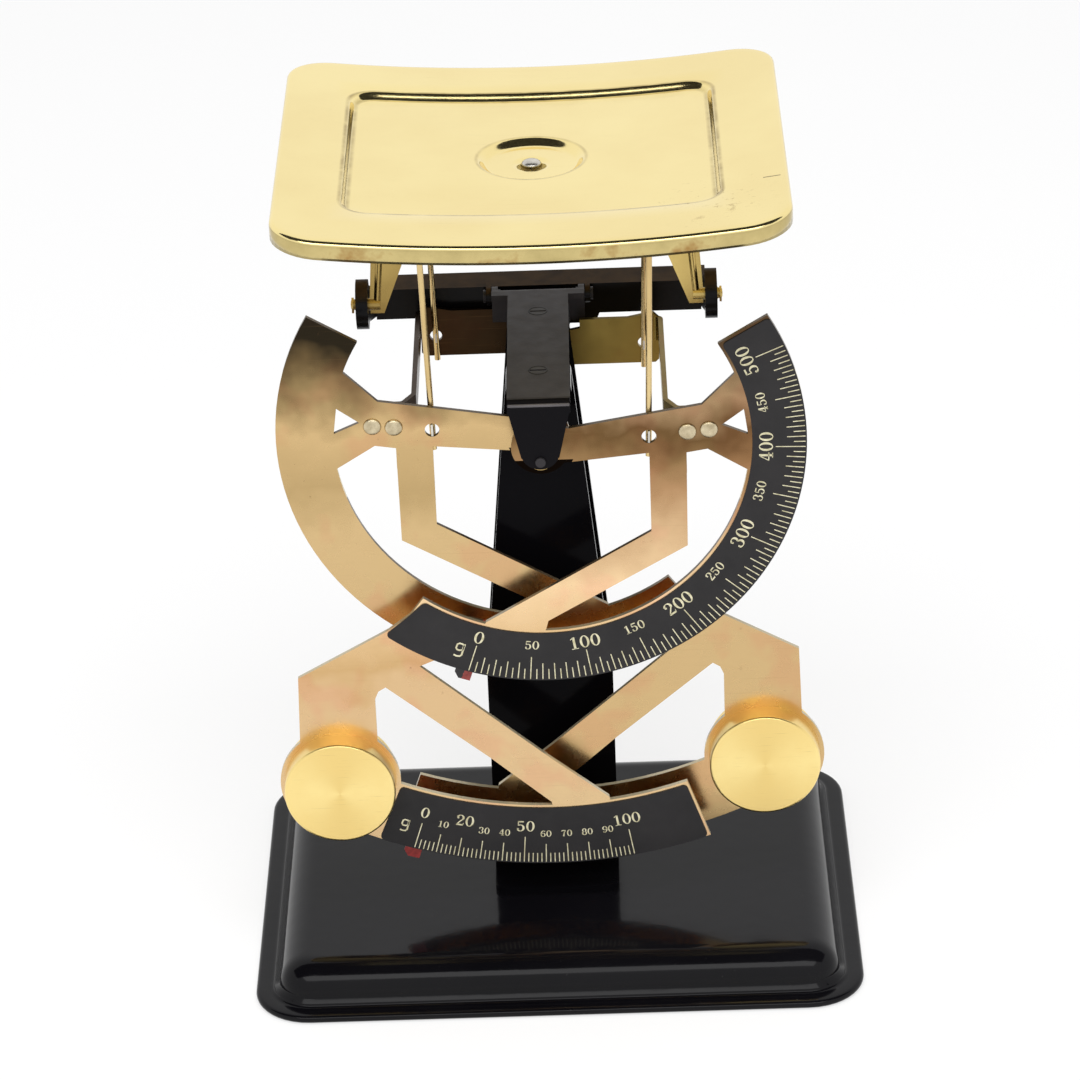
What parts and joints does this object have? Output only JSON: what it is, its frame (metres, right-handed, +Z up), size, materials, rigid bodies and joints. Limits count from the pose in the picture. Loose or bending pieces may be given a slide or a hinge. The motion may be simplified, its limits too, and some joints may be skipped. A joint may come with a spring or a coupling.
{
  "type": "letter scale",
  "caption": "Free-standing letter balance with a concave brass pan on a guide yoke above two mirrored, weighted dial levers, on a black pressed-steel base.",
  "frame": {"origin": "on the table, under the middle of the whole balance", "axes": "+Z up, +X to the right seen from the dial side, front towards -Y; the lever pivot line lies along Y"},
  "size_m": [0.1494, 0.121, 0.2041],
  "materials": {
    "black_enamel": "gloss enamel",
    "dark_bracket": "satin",
    "steel": "plain",
    "lever_brass": "satin, slightly tarnished",
    "pan_brass": "polished",
    "weight_brass": "turned satin",
    "wire_brass": "polished",
    "dial_black": "matte",
    "pointer_red": "satin"
  },
  "bodies": {
    "stand": {"base_shell": "black_enamel", "foot_rivets": "black_enamel", "column_front": "black_enamel", "column_rear": "black_enamel", "top_bracket": "dark_bracket", "bracket_screws": "dark_bracket", "bracket_nuts": "dark_bracket", "front_pivot_pin": "steel", "rear_pivot_pin": "steel", "yoke_hinge_pins": "steel"},
    "guide_yoke": {"guide_yoke": "black_enamel"},
    "pan": {"pan": "pan_brass", "pan_strap": "pan_brass", "pan_bracket_left": "pan_brass", "pan_bracket_right": "pan_brass", "pan_rivet": "steel", "pan_bracket_rivets": "steel"},
    "left_lever": {"left_plate": "lever_brass", "left_yoke_strip": "lever_brass", "left_rivets": "steel", "left_front_bush": "lever_brass", "left_rear_bush": "lever_brass", "left_weight_front": "weight_brass", "left_weight_rear": "weight_brass", "left_weight_rivet": "steel", "upper_pointer": "pointer_red", "lower_pointer": "pointer_red", "pointer_rivets": "steel"},
    "right_lever": {"right_plate": "lever_brass", "right_yoke_strip": "lever_brass", "right_rivets": "steel", "right_front_bush": "lever_brass", "right_rear_bush": "lever_brass", "right_weight_front": "weight_brass", "right_weight_rear": "weight_brass", "right_weight_rivet": "steel", "upper_dial": "dial_black", "lower_dial": "dial_black"},
    "left_stirrup": {"left_stirrup": "wire_brass", "left_knives": "steel"},
    "right_stirrup": {"right_stirrup": "wire_brass", "right_knives": "steel"}
  },
  "joints": [
    {"name": "left_lever", "type": "hinge", "parent": "stand", "child": "left_lever", "pos_m": [0, 0, 0.137], "axis": [0, -1, 0], "range_deg": [0, 66]},
    {"name": "right_lever", "type": "hinge", "parent": "stand", "child": "right_lever", "pos_m": [0, 0, 0.137], "axis": [0, 1, 0], "range_deg": [0, 66]},
    {"name": "yoke", "type": "hinge", "parent": "stand", "child": "guide_yoke", "pos_m": [0, 0.035, 0.1495], "axis": [1, 0, 0], "range_deg": [0, 48]},
    {"name": "pan_level", "type": "hinge", "parent": "guide_yoke", "child": "pan", "pos_m": [0, 0.0055, 0.1619], "axis": [-1, 0, 0], "range_deg": [0, 48]},
    {"name": "left_knife", "type": "hinge", "parent": "left_lever", "child": "left_stirrup", "pos_m": [-0.0257, 0, 0.1389], "axis": [0, 1, 0], "range_deg": [0, 55]},
    {"name": "right_knife", "type": "hinge", "parent": "right_lever", "child": "right_stirrup", "pos_m": [0.0257, 0, 0.1389], "axis": [0, -1, 0], "range_deg": [0, 55]}
  ],
  "couplings": [
    {"joint": "right_lever", "follows": "left_lever", "ratio": 1},
    {"joint": "yoke", "follows": "left_lever", "ratio": 0.725},
    {"joint": "pan_level", "follows": "left_lever", "ratio": 0.725},
    {"joint": "left_knife", "follows": "left_lever", "ratio": 0.826},
    {"joint": "right_knife", "follows": "left_lever", "ratio": 0.826}
  ]
}
